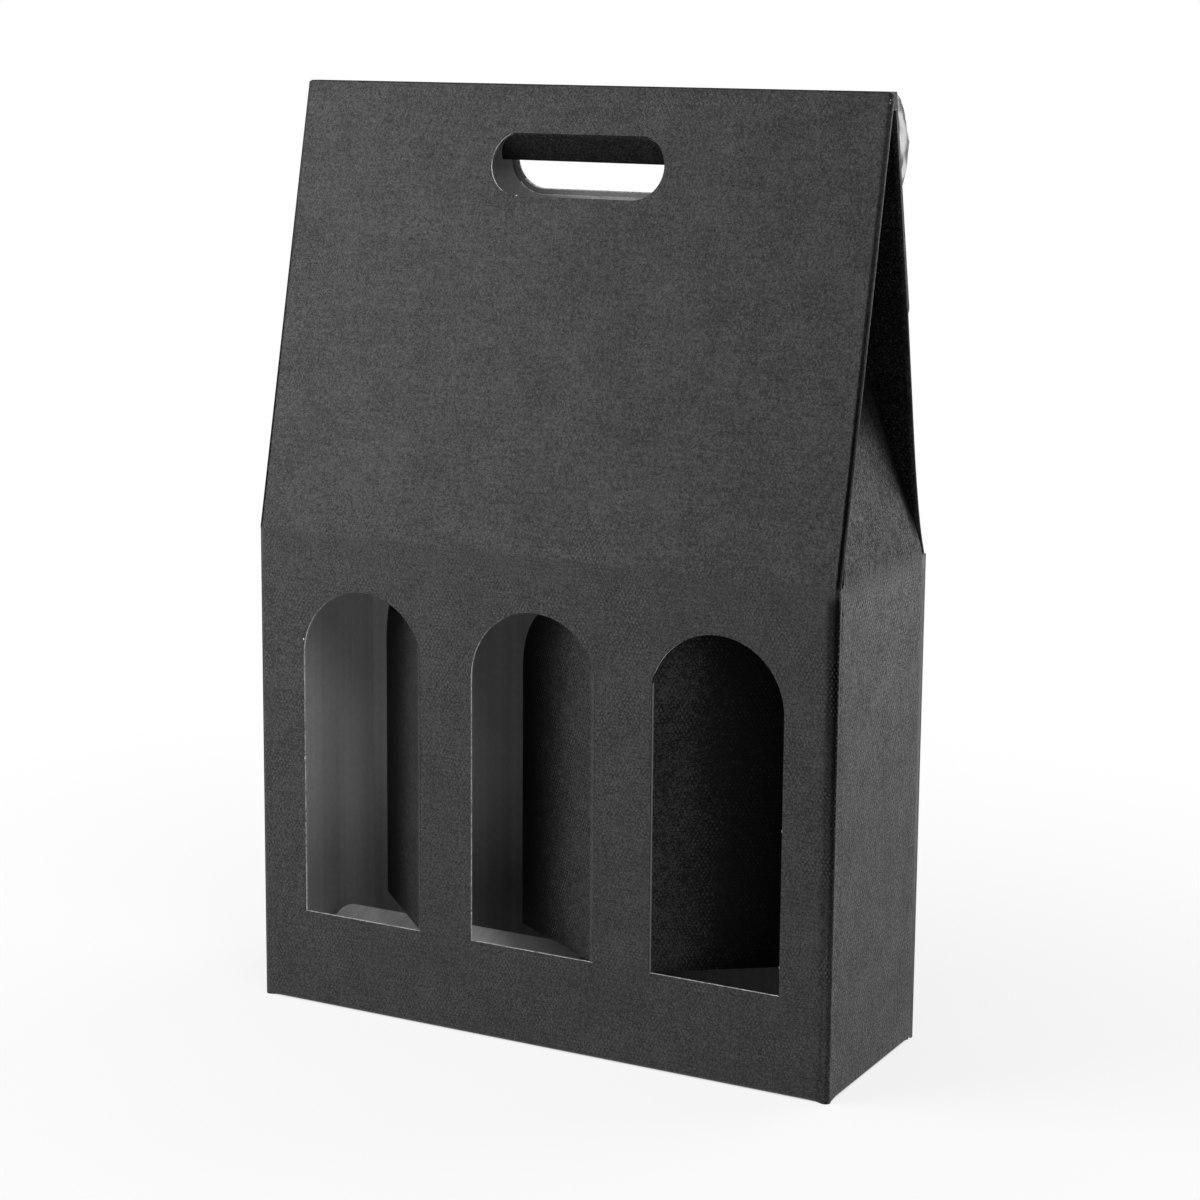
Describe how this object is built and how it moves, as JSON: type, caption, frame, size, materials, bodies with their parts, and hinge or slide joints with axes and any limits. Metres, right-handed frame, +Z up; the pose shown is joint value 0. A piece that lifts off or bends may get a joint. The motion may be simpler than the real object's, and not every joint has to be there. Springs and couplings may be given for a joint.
{
  "type": "wine box",
  "caption": "Gable-top carry carton for wine bottles in black corrugated board, with arched windows, pushed-in window flaps, a handle slot and a self-locking base.",
  "frame": {"origin": "middle of the base, on the surface that the box stands on", "axes": "+Z up; -Y towards the front with the windows; +X to the right seen from the front, along the ridge"},
  "size_m": [0.262, 0.086, 0.385],
  "materials": {
    "black_board": "matte, fine linen emboss",
    "inner_board": "matte",
    "clear_film": "clear, glossy"
  },
  "bodies": {
    "carton": {"front_panel": "black_board", "back_panel": "black_board", "left_side_panel": "black_board", "right_side_panel": "black_board", "glue_flap": "black_board", "front_roof_panel": "black_board", "back_roof_panel": "black_board", "left_front_web": "black_board", "left_back_web": "black_board", "right_front_web": "black_board", "right_back_web": "black_board", "left_gusset": "black_board", "right_gusset": "black_board", "left_base_flap": "inner_board", "right_base_flap": "inner_board"},
    "left_window_flap": {"left_window_flap": "black_board"},
    "middle_window_flap": {"middle_window_flap": "black_board"},
    "right_window_flap": {"right_window_flap": "black_board"},
    "handle_flap": {"handle_flap": "black_board"},
    "ridge_strip": {"ridge_strip": "black_board"},
    "closure": {"closure_flap": "black_board", "clear_seal": "clear_film"},
    "front_base_flap": {"front_base_flap": "inner_board"},
    "back_base_flap": {"back_base_flap": "inner_board"}
  },
  "joints": [
    {"name": "left_window_crease", "type": "hinge", "parent": "carton", "child": "left_window_flap", "pos_m": [-0.053, -0.04225, 0.0955], "axis": [0, 0, -1], "range_deg": [-44, 46]},
    {"name": "middle_window_crease", "type": "hinge", "parent": "carton", "child": "middle_window_flap", "pos_m": [0.0276, -0.04225, 0.0955], "axis": [0, 0, -1], "range_deg": [-30.5, 59.5]},
    {"name": "right_window_crease", "type": "hinge", "parent": "carton", "child": "right_window_flap", "pos_m": [0.053, -0.04225, 0.0955], "axis": [0, 0, 1], "range_deg": [-36, 54]},
    {"name": "handle_flap_crease", "type": "hinge", "parent": "carton", "child": "handle_flap", "pos_m": [0, -0.00674, 0.36544], "axis": [1, 0, 0], "range_deg": [-43, 22]},
    {"name": "ridge_crease", "type": "hinge", "parent": "carton", "child": "ridge_strip", "pos_m": [0, -0.00265, 0.38425], "axis": [1, 0, 0], "range_deg": [0, 90]},
    {"name": "closure_crease", "type": "hinge", "parent": "ridge_strip", "child": "closure", "pos_m": [0, 0.00265, 0.38425], "axis": [1, 0, 0], "range_deg": [0, 105]},
    {"name": "front_base_crease", "type": "hinge", "parent": "carton", "child": "front_base_flap", "pos_m": [0, -0.04035, 0.00255], "axis": [-1, 0, 0], "range_deg": [0, 17]},
    {"name": "back_base_crease", "type": "hinge", "parent": "carton", "child": "back_base_flap", "pos_m": [0, 0.04035, 0.00255], "axis": [1, 0, 0], "range_deg": [0, 17]}
  ],
  "couplings": [
    {"joint": "back_base_crease", "follows": "front_base_crease", "ratio": 1}
  ]
}
